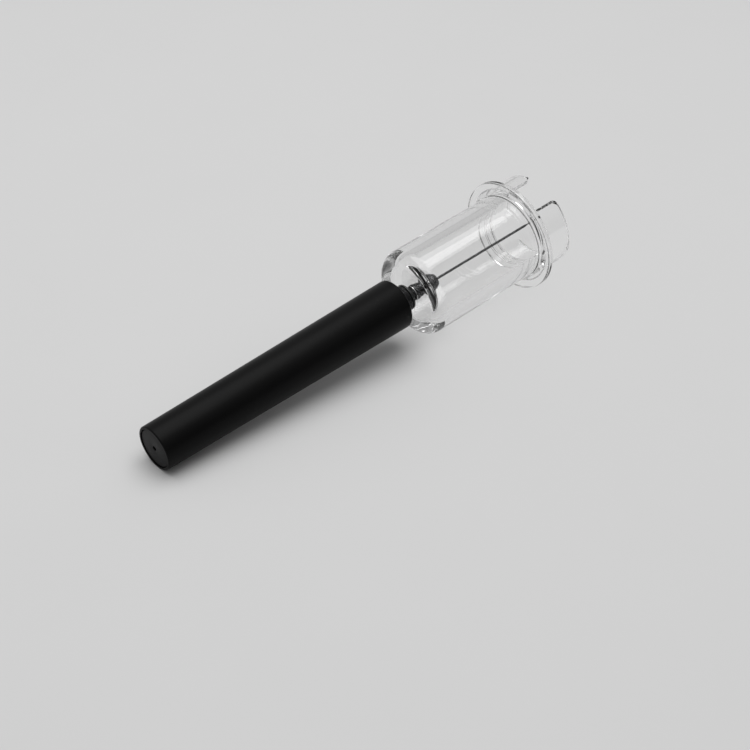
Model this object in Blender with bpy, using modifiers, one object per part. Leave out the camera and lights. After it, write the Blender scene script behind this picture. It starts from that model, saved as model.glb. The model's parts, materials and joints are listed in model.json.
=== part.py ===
"""Air pump wine opener: a hollow needle on a pump tube, a sliding handle and a clear bottle guard.

Every turned piece is drawn as an outline of (radius, station) corners, where a station is a distance
along the opener's own axis from the back end of its handle. The opener lies as it does on a table,
on the back edge of the handle and on the rim of the guard's flange, so its axis rises a few degrees.
"""

import math

import bmesh
import bpy
from mathutils import Vector

MM = 0.001
FULL_TURN = 2 * math.pi

# Shared clearances and finenesses
CLEARANCE = 0.3 * MM
OVERRUN = 3 * MM
MERGE = 0.00001
LARGE_SIDES = 48
INNER_SIDES = 32
SMALL_SIDES = 24
FINE_SIDES = 16
CORD_SIDES = 8
FILLET_STEPS = 2
FILLET_CHORD = 1.6 * MM

# Handle sleeve
SLEEVE_LENGTH = 139.2 * MM
SLEEVE_BACK_RADIUS = 10.75 * MM
SLEEVE_FRONT_RADIUS = 12.25 * MM
SLEEVE_BORE_RADIUS = 9.4 * MM
SLEEVE_BACK_EDGE = 0.7 * MM
SLEEVE_FRONT_EDGE = 1.0 * MM

# Barrel inside the sleeve
BARREL_BORE_RADIUS = 7.9 * MM

# Disc on the end of the handle, and the cap behind it with its intake valve
DISC_INSET = 0.35 * MM
DISC_THICKNESS = 1.2 * MM
DISC_EDGE = 0.3 * MM
INTAKE_RADIUS = 1.1 * MM
CAP_BODY_LENGTH = 4.0 * MM
CAP_SPIGOT_LENGTH = 6.3 * MM
CAP_FLOOR_THICKNESS = 2.2 * MM
CAP_CHAMBER_RADIUS = 4.6 * MM
CAP_RING_CORD = 0.55 * MM
CAP_RING_INSET = 2.4 * MM
FLAP_THICKNESS = 0.8 * MM
FLAP_TRAVEL = 0.8 * MM
CAGE_THICKNESS = 1.2 * MM
CAGE_HOLE_COUNT = 4
CAGE_HOLE_RADIUS = 0.8 * MM
CAGE_HOLE_CIRCLE = 2.6 * MM

# Piston and its check valve
PISTON_DEAD_SPACE = 1.0 * MM
PISTON_LENGTH = 12.0 * MM
PISTON_EDGE = 0.6 * MM
PISTON_SOCKET_DEPTH = 5.0 * MM
PISTON_CHAMBER_RADIUS = 3.0 * MM
PISTON_RING_CORD = 0.7 * MM
PISTON_RING_INSET = 3.6 * MM
SEAT_THICKNESS = 2.3 * MM
SEAT_HOLE_RADIUS = 1.2 * MM
SEAT_INSET = 0.2 * MM
BALL_RADIUS = 2.0 * MM
BALL_TRAVEL = 0.9 * MM
SPRING_WIRE_RADIUS = 0.22 * MM
SPRING_COIL_RADIUS = 1.7 * MM
SPRING_PITCH = 1.05 * MM
SPRING_CURLS = 5
SPRING_POINTS_PER_CURL = 10
STOP_THICKNESS = 1.5 * MM
STOP_HOLE_RADIUS = 1.2 * MM

# Pump tube
TUBE_RADIUS = 4.5 * MM
TUBE_BORE_RADIUS = 3.2 * MM

# Bush in the mouth of the handle, with the wiper and the bumper that it carries
BUSH_INSET = 0.5 * MM
BUSH_LENGTH = 10.7 * MM
BUSH_EDGE = 0.5 * MM
NECK_POCKET_DEPTH = 4.7 * MM
WIPER_CORD = 0.55 * MM
BUMPER_THICKNESS = 1.3 * MM

# Neck between the pump tube and the guard
NECK_RADIUS = 6.6 * MM
NECK_STANDOUT = 5.6 * MM
NECK_EDGE = 0.9 * MM
NECK_SOCKET_DEPTH = 5.2 * MM
TUBE_SEAL_THICKNESS = 1.0 * MM
NECK_WASHER_THICKNESS = 1.0 * MM
NECK_WASHER_RADIUS = 6.4 * MM

# Clear guard
GUARD_RADIUS = 21.5 * MM
GUARD_BORE_RADIUS = 15.3 * MM
GUARD_LENGTH_TO_FLANGE_FRONT = 68.6 * MM
GUARD_BASE_THICKNESS = 6.8 * MM
GUARD_BACK_EDGE = 5.8 * MM
GUARD_FLOOR_FILLET = 2.0 * MM
GUARD_MOUTH_EDGE = 0.8 * MM
SPOT_FACE_MARGIN = 0.6 * MM
SPOT_FACE_DEPTH = 0.4 * MM
FLANGE_RADIUS = 28.0 * MM
FLANGE_THICKNESS = 2.9 * MM
FLANGE_EDGE = 0.6 * MM
EAR_RADIUS = 24.0 * MM
EAR_BORE_RADIUS = 21.5 * MM
EAR_LENGTH = 15.5 * MM
EAR_EDGE = 0.7 * MM
EAR_ROOT_HEIGHT = 1.5 * MM
SLOT_WIDTH = 16.4 * MM
SLOT_FLOOR_FILLET = 1.5 * MM
SLOT_MOUTH_RADIUS = 3.0 * MM
WIDE_MOUTH_RADIUS = 7.0 * MM
# Each slot's direction about the axis, from straight down towards +Y, and the rounding of its mouth
SLOTS = (
    (math.radians(-164.6), SLOT_MOUTH_RADIUS),
    (math.radians(-46.0), WIDE_MOUTH_RADIUS),
    (math.radians(56.0), SLOT_MOUTH_RADIUS),
)
REST_FLAT_DEPTH = 0.29 * MM

# Needle hub and needle
HUB_WASHER_THICKNESS = 0.7 * MM
HUB_WASHER_RADIUS = 3.6 * MM
HUB_FLANGE_RADIUS = 3.9 * MM
HUB_FLANGE_THICKNESS = 1.6 * MM
HUB_BODY_RADIUS = 3.5 * MM
HUB_BODY_LENGTH = 2.2 * MM
HUB_CONE_LENGTH = 5.0 * MM
HUB_NOSE_RADIUS = 1.5 * MM
HUB_SHANK_RADIUS = 0.9 * MM
HUB_SHANK_ENGAGEMENT = 3.8 * MM
HUB_AIRWAY_RADIUS = 0.35 * MM
HUB_EDGE = 0.3 * MM
NEEDLE_RADIUS = 0.6 * MM
NEEDLE_BORE_RADIUS = 0.35 * MM
NEEDLE_LENGTH = 70.0 * MM
NEEDLE_SOCKET_DEPTH = 7.0 * MM
NEEDLE_POINT_LENGTH = 4.0 * MM
NEEDLE_VENT_SETBACK = 9.0 * MM
NEEDLE_VENT_RADIUS = 0.3 * MM

# Stations worked out from the sizes above, back to front
CAP_BACK = DISC_INSET + DISC_THICKNESS + CLEARANCE
CAP_SHOULDER = CAP_BACK + CAP_BODY_LENGTH
CAP_FRONT = CAP_SHOULDER + CAP_SPIGOT_LENGTH
FLAP_BACK = CAP_BACK + CAP_FLOOR_THICKNESS + CLEARANCE
CAGE_BACK = FLAP_BACK + FLAP_THICKNESS + FLAP_TRAVEL + CLEARANCE
PISTON_BACK = CAP_FRONT + PISTON_DEAD_SPACE
PISTON_FRONT = PISTON_BACK + PISTON_LENGTH
PISTON_SOCKET_FLOOR = PISTON_FRONT - PISTON_SOCKET_DEPTH
SEAT_BACK = PISTON_BACK + SEAT_INSET
SEAT_FRONT = SEAT_BACK + SEAT_THICKNESS
BALL_CENTRE = SEAT_FRONT + math.sqrt((BALL_RADIUS + CLEARANCE) ** 2 - SEAT_HOLE_RADIUS**2)
SPRING_REACH = BALL_RADIUS + SPRING_WIRE_RADIUS + CLEARANCE
SPRING_BACK = BALL_CENTRE + math.sqrt(SPRING_REACH**2 - SPRING_COIL_RADIUS**2)
SPRING_FRONT = SPRING_BACK + SPRING_CURLS * SPRING_PITCH
STOP_BACK = SPRING_FRONT + SPRING_WIRE_RADIUS + BALL_TRAVEL + CLEARANCE
TUBE_BACK = PISTON_SOCKET_FLOOR + CLEARANCE
BUSH_FRONT = SLEEVE_LENGTH - BUSH_INSET
BUSH_BACK = BUSH_FRONT - BUSH_LENGTH
POCKET_FLOOR = BUSH_FRONT - NECK_POCKET_DEPTH
BARREL_BACK = CAP_SHOULDER + CLEARANCE
BARREL_FRONT = BUSH_BACK - CLEARANCE
NECK_BACK = POCKET_FLOOR + CLEARANCE
NECK_FRONT = SLEEVE_LENGTH + NECK_STANDOUT
NECK_SOCKET_FLOOR = NECK_BACK + NECK_SOCKET_DEPTH
TUBE_SEAL_BACK = NECK_SOCKET_FLOOR - CLEARANCE - TUBE_SEAL_THICKNESS
TUBE_FRONT = TUBE_SEAL_BACK - CLEARANCE
NECK_WASHER_BACK = NECK_FRONT + CLEARANCE
GUARD_BACK = NECK_WASHER_BACK + NECK_WASHER_THICKNESS + CLEARANCE
GUARD_FLOOR = GUARD_BACK + GUARD_BASE_THICKNESS
SPOT_FACE_FLOOR = GUARD_FLOOR - SPOT_FACE_DEPTH
FLANGE_FRONT = GUARD_BACK + GUARD_LENGTH_TO_FLANGE_FRONT
FLANGE_BACK = FLANGE_FRONT - FLANGE_THICKNESS
EAR_FRONT = FLANGE_FRONT + EAR_LENGTH
HUB_WASHER_BACK = SPOT_FACE_FLOOR + CLEARANCE
HUB_FLANGE_BACK = HUB_WASHER_BACK + HUB_WASHER_THICKNESS + CLEARANCE
HUB_BACK = NECK_FRONT - HUB_SHANK_ENGAGEMENT
HUB_BODY_BACK = HUB_FLANGE_BACK + HUB_FLANGE_THICKNESS
HUB_CONE_BACK = HUB_BODY_BACK + HUB_BODY_LENGTH
HUB_FRONT = HUB_CONE_BACK + HUB_CONE_LENGTH
NEEDLE_BACK = HUB_FRONT - NEEDLE_SOCKET_DEPTH + CLEARANCE
NEEDLE_FRONT = NEEDLE_BACK + NEEDLE_LENGTH

# Radii worked out from their neighbours
LINER_RADIUS = SLEEVE_BORE_RADIUS - CLEARANCE
RUNNING_RADIUS = BARREL_BORE_RADIUS - CLEARANCE
TUBE_HOLE_RADIUS = TUBE_RADIUS + CLEARANCE
SHANK_HOLE_RADIUS = HUB_SHANK_RADIUS + CLEARANCE
NECK_POCKET_RADIUS = NECK_RADIUS + CLEARANCE
SPOT_FACE_RADIUS = HUB_FLANGE_RADIUS + SPOT_FACE_MARGIN

# How the opener lies: the floor touches the sleeve's back edge and cuts the flat on the flange
SLEEVE_TOUCH_RADIUS = SLEEVE_BACK_RADIUS * math.cos(math.pi / LARGE_SIDES)
FLANGE_TOUCH_RADIUS = FLANGE_RADIUS - REST_FLAT_DEPTH
AXIS_RISE = math.atan2(FLANGE_TOUCH_RADIUS - SLEEVE_TOUCH_RADIUS, FLANGE_BACK - SLEEVE_BACK_EDGE)
AXIS_START_HEIGHT = SLEEVE_TOUCH_RADIUS * math.cos(AXIS_RISE) - SLEEVE_BACK_EDGE * math.sin(AXIS_RISE)

# Colour, roughness, metallic value and transmission of each material
FINISHES = {
    "black_satin": ((0.012, 0.012, 0.013, 1), 0.42, 0.0, 0.0),
    "black_plastic": ((0.02, 0.02, 0.021, 1), 0.5, 0.0, 0.0),
    "cap_grey": ((0.035, 0.035, 0.037, 1), 0.45, 0.0, 0.0),
    "black_rubber": ((0.015, 0.015, 0.015, 1), 0.8, 0.0, 0.0),
    "clear_plastic": ((0.97, 0.98, 0.98, 1), 0.03, 0.0, 1.0),
    "aluminium": ((0.72, 0.73, 0.75, 1), 0.3, 1.0, 0.0),
    "steel": ((0.45, 0.45, 0.46, 1), 0.25, 1.0, 0.0),
    "brass": ((0.78, 0.6, 0.3, 1), 0.3, 1.0, 0.0),
    "black_nylon": ((0.03, 0.03, 0.032, 1), 0.5, 0.0, 0.0),
}


def clear_scene():
    """Removes every object of the scene that the script was started in."""
    for old in list(bpy.data.objects):
        bpy.data.objects.remove(old)


def make_material(name):
    """Makes the Principled BSDF material of one of the FINISHES."""
    colour, roughness, metallic, transmission = FINISHES[name]
    material = bpy.data.materials.new(name)
    material.use_nodes = True
    shader = material.node_tree.nodes["Principled BSDF"]
    shader.inputs["Base Color"].default_value = colour
    shader.inputs["Roughness"].default_value = roughness
    shader.inputs["Metallic"].default_value = metallic
    shader.inputs["Transmission Weight"].default_value = transmission
    return material


def new_collection(name):
    """Makes a collection under the scene's own."""
    collection = bpy.data.collections.new(name)
    bpy.context.scene.collection.children.link(collection)
    return collection


def new_empty(name, station, parent, collection):
    """Puts an empty on the opener's axis, for the pieces that move together."""
    empty = bpy.data.objects.new(name, None)
    empty.parent = parent
    empty.location = (0, 0, station)
    collection.objects.link(empty)
    return empty


def round_corners(corners, closed):
    """Replaces each (radius, station, fillet) corner by the points of its arc."""
    points = []
    count = len(corners)
    for index, corner in enumerate(corners):
        here = Vector(corner[:2])
        fillet = corner[2] if len(corner) > 2 else 0
        at_end = not closed and index in (0, count - 1)
        if not fillet or at_end:
            points.append(here)
            continue
        back = (Vector(corners[index - 1][:2]) - here).normalized()
        ahead = (Vector(corners[(index + 1) % count][:2]) - here).normalized()
        half_angle = back.angle(ahead) / 2
        setback = fillet / math.tan(half_angle)
        middle = here + (back + ahead).normalized() * fillet / math.sin(half_angle)
        start = here + back * setback - middle
        turn = (here + ahead * setback - middle).angle_signed(start)
        steps = max(FILLET_STEPS, round(abs(turn) * fillet / FILLET_CHORD))
        for step in range(steps + 1):
            angle = turn * step / steps
            swung = Vector(
                (
                    start.x * math.cos(angle) - start.y * math.sin(angle),
                    start.x * math.sin(angle) + start.y * math.cos(angle),
                )
            )
            points.append(middle + swung)
    return points


def finish_piece(piece, material, parent, station, collection):
    """Places a piece, drawn in stations, so that its origin is its parent's or its own station."""
    piece.data.materials.append(material)
    piece.parent = parent
    piece.location.z = -station
    collection.objects.link(piece)
    return piece


def add_turn(piece, sides):
    """Turns a piece's open or closed outline about the opener's axis, with a facet straight down."""
    screw = piece.modifiers.new("turn", "SCREW")
    screw.axis = "Z"
    screw.angle = FULL_TURN
    screw.steps = sides
    screw.render_steps = sides
    screw.use_merge_vertices = True
    screw.merge_threshold = MERGE
    screw.use_smooth_shade = True
    piece.rotation_euler.z = math.pi / sides


def turned(name, corners, sides, material, parent, collection, closed=True):
    """Makes a piece from an outline that runs down its outer side."""
    points = round_corners(corners, closed)
    mesh = bpy.data.meshes.new(name)
    edges = [(index, index + 1) for index in range(len(points) - 1)]
    if closed:
        edges.append((len(points) - 1, 0))
    mesh.from_pydata([(point.x, 0, point.y) for point in points], edges, [])
    piece = bpy.data.objects.new(name, mesh)
    add_turn(piece, sides)
    return finish_piece(piece, material, parent, parent.location.z, collection)


def tube_outline(bore, radius, back, front, edge=0):
    """Gives the outline of a plain ring or tube, with its outer edges rounded."""
    return [(radius, front, edge), (radius, back, edge), (bore, back), (bore, front)]


def ring(name, centre_radius, cord, station, sides, material, parent, collection):
    """Makes a round sealing ring as a circle of its own round section."""
    mesh = bpy.data.meshes.new(name)
    shape = bmesh.new()
    bmesh.ops.create_circle(shape, segments=CORD_SIDES, radius=cord)
    for vertex in shape.verts:
        vertex.co = Vector((centre_radius + vertex.co.x, 0, station + vertex.co.y))
    shape.to_mesh(mesh)
    shape.free()
    piece = bpy.data.objects.new(name, mesh)
    add_turn(piece, sides)
    return finish_piece(piece, material, parent, parent.location.z, collection)


def groove_width(cord):
    """Gives the width of the groove that holds a sealing ring of this cord radius."""
    return 2 * (cord + CLEARANCE)


def cut(piece, cutter):
    """Cuts one piece with a cutter that has the same parent."""
    boolean = piece.modifiers.new(cutter.name, "BOOLEAN")
    boolean.operation = "DIFFERENCE"
    boolean.solver = "EXACT"
    boolean.object = cutter


def as_cutter(piece):
    """Hides a cutter from renders and draws it as wire."""
    piece.hide_render = True
    piece.display_type = "WIRE"
    return piece


def round_cutter(name, radius, length, location, rotation, parent, cutters):
    """Makes a round cutter, centred on its location."""
    mesh = bpy.data.meshes.new(name)
    shape = bmesh.new()
    bmesh.ops.create_cone(
        shape,
        cap_ends=True,
        segments=FINE_SIDES,
        radius1=radius,
        radius2=radius,
        depth=length,
    )
    shape.to_mesh(mesh)
    shape.free()
    cutter = bpy.data.objects.new(name, mesh)
    cutter.parent = parent
    cutter.location = location
    cutter.rotation_euler = rotation
    cutters.objects.link(cutter)
    return as_cutter(cutter)


def slot_outline(mouth_radius):
    """Gives the slot's outline as (across, station) points: a rounded floor and a flared mouth."""
    half = SLOT_WIDTH / 2
    floor = FLANGE_FRONT + EAR_ROOT_HEIGHT
    beyond = EAR_FRONT + OVERRUN
    corners = [
        (half, floor, SLOT_FLOOR_FILLET),
        (half, EAR_FRONT, mouth_radius),
        (half + 2 * mouth_radius, EAR_FRONT),
        (half + 2 * mouth_radius, beyond),
    ]
    mirrored = [(-corner[0], *corner[1:]) for corner in reversed(corners)]
    return round_corners(corners + mirrored, True)


def slot_cutter(name, direction, mouth_radius, parent, cutters):
    """Makes the cutter of one slot between the ears, pushed through the wall from inside."""
    outline = slot_outline(mouth_radius)
    inner = EAR_BORE_RADIUS / 2
    outer = EAR_RADIUS + OVERRUN
    mesh = bpy.data.meshes.new(name)
    shape = bmesh.new()
    vertices = [shape.verts.new((inner, point.x, point.y)) for point in outline]
    face = shape.faces.new(vertices)
    swept = bmesh.ops.extrude_face_region(shape, geom=[face])
    moved = [item for item in swept["geom"] if isinstance(item, bmesh.types.BMVert)]
    bmesh.ops.translate(shape, verts=moved, vec=(outer - inner, 0, 0))
    bmesh.ops.recalc_face_normals(shape, faces=shape.faces)
    shape.to_mesh(mesh)
    shape.free()
    cutter = bpy.data.objects.new(name, mesh)
    cutter.parent = parent
    cutter.location.z = -parent.location.z
    cutter.rotation_euler.z = direction
    cutters.objects.link(cutter)
    return as_cutter(cutter)


def floor_cutter(parent, cutters):
    """Makes the cutter of the flange's resting flat: a slab whose top face is the floor."""
    mesh = bpy.data.meshes.new("floor_cutter")
    shape = bmesh.new()
    bmesh.ops.create_cube(shape, size=1)
    length = FLANGE_THICKNESS + 2 * OVERRUN
    thickness = 2 * OVERRUN
    bmesh.ops.scale(shape, verts=shape.verts, vec=(thickness, 2 * FLANGE_RADIUS, length))
    for vertex in shape.verts:
        along = vertex.co.z + FLANGE_THICKNESS / 2
        floor_radius = FLANGE_TOUCH_RADIUS + along * math.tan(AXIS_RISE)
        vertex.co.x += floor_radius + thickness / 2
        vertex.co.z = along
    shape.to_mesh(mesh)
    shape.free()
    cutter = bpy.data.objects.new("floor_cutter", mesh)
    cutter.parent = parent
    cutter.location.z = FLANGE_BACK - parent.location.z
    cutters.objects.link(cutter)
    return as_cutter(cutter)


def build_handle(materials, carrier, parts):
    """Makes the sleeve, the barrel in it and the bush, wiper and bumper at its mouth."""
    sleeve = [
        (SLEEVE_FRONT_RADIUS, SLEEVE_LENGTH, SLEEVE_FRONT_EDGE),
        (SLEEVE_BACK_RADIUS, 0, SLEEVE_BACK_EDGE),
        (SLEEVE_BORE_RADIUS, 0),
        (SLEEVE_BORE_RADIUS, SLEEVE_LENGTH),
    ]
    turned("handle_sleeve", sleeve, LARGE_SIDES, materials["black_satin"], carrier, parts)
    barrel = tube_outline(BARREL_BORE_RADIUS, LINER_RADIUS, BARREL_BACK, BARREL_FRONT)
    turned("barrel", barrel, INNER_SIDES, materials["aluminium"], carrier, parts)
    groove_middle = (BUSH_BACK + POCKET_FLOOR) / 2
    groove_half = groove_width(WIPER_CORD) / 2
    groove_radius = TUBE_HOLE_RADIUS + groove_width(WIPER_CORD) - CLEARANCE
    bush = [
        (LINER_RADIUS, BUSH_FRONT, BUSH_EDGE),
        (LINER_RADIUS, BUSH_BACK, BUSH_EDGE),
        (TUBE_HOLE_RADIUS, BUSH_BACK),
        (TUBE_HOLE_RADIUS, groove_middle - groove_half),
        (groove_radius, groove_middle - groove_half),
        (groove_radius, groove_middle + groove_half),
        (TUBE_HOLE_RADIUS, groove_middle + groove_half),
        (TUBE_HOLE_RADIUS, POCKET_FLOOR),
        (NECK_POCKET_RADIUS, POCKET_FLOOR),
        (NECK_POCKET_RADIUS, BUSH_FRONT),
    ]
    turned("front_bush", bush, INNER_SIDES, materials["black_plastic"], carrier, parts)
    wiper_radius = TUBE_RADIUS + CLEARANCE + WIPER_CORD
    rubber = materials["black_rubber"]
    ring("wiper_ring", wiper_radius, WIPER_CORD, groove_middle, SMALL_SIDES, rubber, carrier, parts)
    bumper_front = BARREL_FRONT
    bumper_back = bumper_front - BUMPER_THICKNESS
    bumper = tube_outline(TUBE_HOLE_RADIUS, RUNNING_RADIUS, bumper_back, bumper_front)
    turned("bumper_ring", bumper, INNER_SIDES, rubber, carrier, parts)


def build_cap(materials, carrier, parts, cutters):
    """Makes the end disc, the cap with its seal, and the cage that holds the intake flap."""
    disc_front = DISC_INSET + DISC_THICKNESS
    disc = [
        (LINER_RADIUS, disc_front),
        (LINER_RADIUS, DISC_INSET, DISC_EDGE),
        (INTAKE_RADIUS, DISC_INSET),
        (INTAKE_RADIUS, disc_front),
    ]
    turned("end_disc", disc, LARGE_SIDES, materials["cap_grey"], carrier, parts)
    groove_middle = CAP_SHOULDER + CAP_RING_INSET
    groove_half = groove_width(CAP_RING_CORD) / 2
    groove_radius = RUNNING_RADIUS - 2 * CAP_RING_CORD - CLEARANCE
    cap = [
        (RUNNING_RADIUS, CAP_FRONT),
        (RUNNING_RADIUS, groove_middle + groove_half),
        (groove_radius, groove_middle + groove_half),
        (groove_radius, groove_middle - groove_half),
        (RUNNING_RADIUS, groove_middle - groove_half),
        (RUNNING_RADIUS, CAP_SHOULDER),
        (LINER_RADIUS, CAP_SHOULDER),
        (LINER_RADIUS, CAP_BACK),
        (INTAKE_RADIUS, CAP_BACK),
        (INTAKE_RADIUS, CAP_BACK + CAP_FLOOR_THICKNESS),
        (CAP_CHAMBER_RADIUS, CAP_BACK + CAP_FLOOR_THICKNESS),
        (CAP_CHAMBER_RADIUS, CAP_FRONT),
    ]
    turned("end_cap", cap, INNER_SIDES, materials["black_plastic"], carrier, parts)
    ring(
        "cap_ring",
        RUNNING_RADIUS - CAP_RING_CORD,
        CAP_RING_CORD,
        groove_middle,
        INNER_SIDES,
        materials["black_rubber"],
        carrier,
        parts,
    )
    cage_radius = CAP_CHAMBER_RADIUS - CLEARANCE
    cage = [
        (0, CAGE_BACK + CAGE_THICKNESS),
        (cage_radius, CAGE_BACK + CAGE_THICKNESS),
        (cage_radius, CAGE_BACK),
        (0, CAGE_BACK),
    ]
    steel = materials["steel"]
    piece = turned("flap_cage", cage, SMALL_SIDES, steel, carrier, parts, closed=False)
    for index in range(CAGE_HOLE_COUNT):
        angle = FULL_TURN * index / CAGE_HOLE_COUNT
        place = (
            CAGE_HOLE_CIRCLE * math.cos(angle),
            CAGE_HOLE_CIRCLE * math.sin(angle),
            CAGE_BACK + CAGE_THICKNESS / 2 - carrier.location.z,
        )
        length = CAGE_THICKNESS + 2 * OVERRUN
        name = f"cage_hole_cutter_{index + 1}"
        cut(piece, round_cutter(name, CAGE_HOLE_RADIUS, length, place, (0, 0, 0), carrier, cutters))


def build_flap(materials, carrier, parts):
    """Makes the rubber disc that closes the intake hole."""
    radius = CAP_CHAMBER_RADIUS - 2 * CLEARANCE
    front = FLAP_BACK + FLAP_THICKNESS
    outline = [(0, front), (radius, front), (radius, FLAP_BACK), (0, FLAP_BACK)]
    rubber = materials["black_rubber"]
    turned("intake_flap", outline, SMALL_SIDES, rubber, carrier, parts, closed=False)


def build_plunger(materials, carrier, parts):
    """Makes the pump tube with its piston, seal, valve seat and spring stop."""
    tube = tube_outline(TUBE_BORE_RADIUS, TUBE_RADIUS, TUBE_BACK, TUBE_FRONT)
    turned("pump_tube", tube, INNER_SIDES, materials["aluminium"], carrier, parts)
    groove_middle = PISTON_BACK + PISTON_RING_INSET
    groove_half = groove_width(PISTON_RING_CORD) / 2
    groove_radius = RUNNING_RADIUS - 2 * PISTON_RING_CORD - CLEARANCE
    piston = [
        (RUNNING_RADIUS, PISTON_FRONT, PISTON_EDGE),
        (RUNNING_RADIUS, groove_middle + groove_half),
        (groove_radius, groove_middle + groove_half),
        (groove_radius, groove_middle - groove_half),
        (RUNNING_RADIUS, groove_middle - groove_half),
        (RUNNING_RADIUS, PISTON_BACK, PISTON_EDGE),
        (PISTON_CHAMBER_RADIUS, PISTON_BACK),
        (PISTON_CHAMBER_RADIUS, PISTON_SOCKET_FLOOR),
        (TUBE_HOLE_RADIUS, PISTON_SOCKET_FLOOR),
        (TUBE_HOLE_RADIUS, PISTON_FRONT),
    ]
    turned("piston", piston, INNER_SIDES, materials["black_plastic"], carrier, parts)
    ring(
        "piston_ring",
        RUNNING_RADIUS - PISTON_RING_CORD,
        PISTON_RING_CORD,
        groove_middle,
        INNER_SIDES,
        materials["black_rubber"],
        carrier,
        parts,
    )
    seat_radius = PISTON_CHAMBER_RADIUS - CLEARANCE
    seat = tube_outline(SEAT_HOLE_RADIUS, seat_radius, SEAT_BACK, SEAT_FRONT)
    turned("valve_seat", seat, SMALL_SIDES, materials["brass"], carrier, parts)
    stop_radius = TUBE_BORE_RADIUS - CLEARANCE
    stop = tube_outline(STOP_HOLE_RADIUS, stop_radius, STOP_BACK, STOP_BACK + STOP_THICKNESS)
    turned("spring_stop", stop, SMALL_SIDES, materials["brass"], carrier, parts)


def build_valve(materials, carrier, parts):
    """Makes the check ball and the spring that presses it on its seat."""
    mesh = bpy.data.meshes.new("valve_ball")
    shape = bmesh.new()
    bmesh.ops.create_uvsphere(shape, u_segments=FINE_SIDES, v_segments=FINE_SIDES // 2, radius=BALL_RADIUS)
    for face in shape.faces:
        face.smooth = True
    shape.to_mesh(mesh)
    shape.free()
    ball = bpy.data.objects.new("valve_ball", mesh)
    finish_piece(ball, materials["steel"], carrier, 0, parts)
    points = spring_points()
    curve = bpy.data.curves.new("valve_spring", "CURVE")
    curve.dimensions = "3D"
    curve.bevel_depth = SPRING_WIRE_RADIUS
    curve.bevel_resolution = 1
    curve.use_fill_caps = True
    spline = curve.splines.new("POLY")
    spline.points.add(len(points) - 1)
    for target, point in zip(spline.points, points):
        target.co = (*point, 1)
    spring = bpy.data.objects.new("valve_spring", curve)
    finish_piece(spring, materials["steel"], carrier, carrier.location.z, parts)


def spring_points():
    """Gives the spring's centre line, and prints the least gap between its turns."""
    points = []
    for index in range(SPRING_CURLS * SPRING_POINTS_PER_CURL + 1):
        turns = index / SPRING_POINTS_PER_CURL
        angle = FULL_TURN * turns
        points.append(
            Vector(
                (
                    SPRING_COIL_RADIUS * math.cos(angle),
                    SPRING_COIL_RADIUS * math.sin(angle),
                    SPRING_BACK + SPRING_PITCH * turns,
                )
            )
        )
    apart = SPRING_POINTS_PER_CURL // 2
    least = min(
        (points[first] - points[second]).length
        for first in range(len(points))
        for second in range(first + apart, len(points))
    )
    gap = least - 2 * SPRING_WIRE_RADIUS
    print(f"valve_spring: least gap to itself {gap / MM:.2f} mm")
    return points


def build_neck(materials, carrier, parts):
    """Makes the neck that stands out of the handle, with the seals at both of its ends."""
    neck = [
        (NECK_RADIUS, NECK_FRONT, NECK_EDGE),
        (NECK_RADIUS, NECK_BACK),
        (TUBE_HOLE_RADIUS, NECK_BACK),
        (TUBE_HOLE_RADIUS, NECK_SOCKET_FLOOR),
        (SHANK_HOLE_RADIUS, NECK_SOCKET_FLOOR),
        (SHANK_HOLE_RADIUS, NECK_FRONT),
    ]
    turned("neck", neck, LARGE_SIDES, materials["black_plastic"], carrier, parts)
    seal_front = TUBE_SEAL_BACK + TUBE_SEAL_THICKNESS
    seal = tube_outline(SHANK_HOLE_RADIUS, TUBE_RADIUS, TUBE_SEAL_BACK, seal_front)
    turned("tube_seal", seal, SMALL_SIDES, materials["black_rubber"], carrier, parts)
    washer_front = NECK_WASHER_BACK + NECK_WASHER_THICKNESS
    washer = tube_outline(SHANK_HOLE_RADIUS, NECK_WASHER_RADIUS, NECK_WASHER_BACK, washer_front)
    turned("neck_washer", washer, INNER_SIDES, materials["black_nylon"], carrier, parts)


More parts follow.
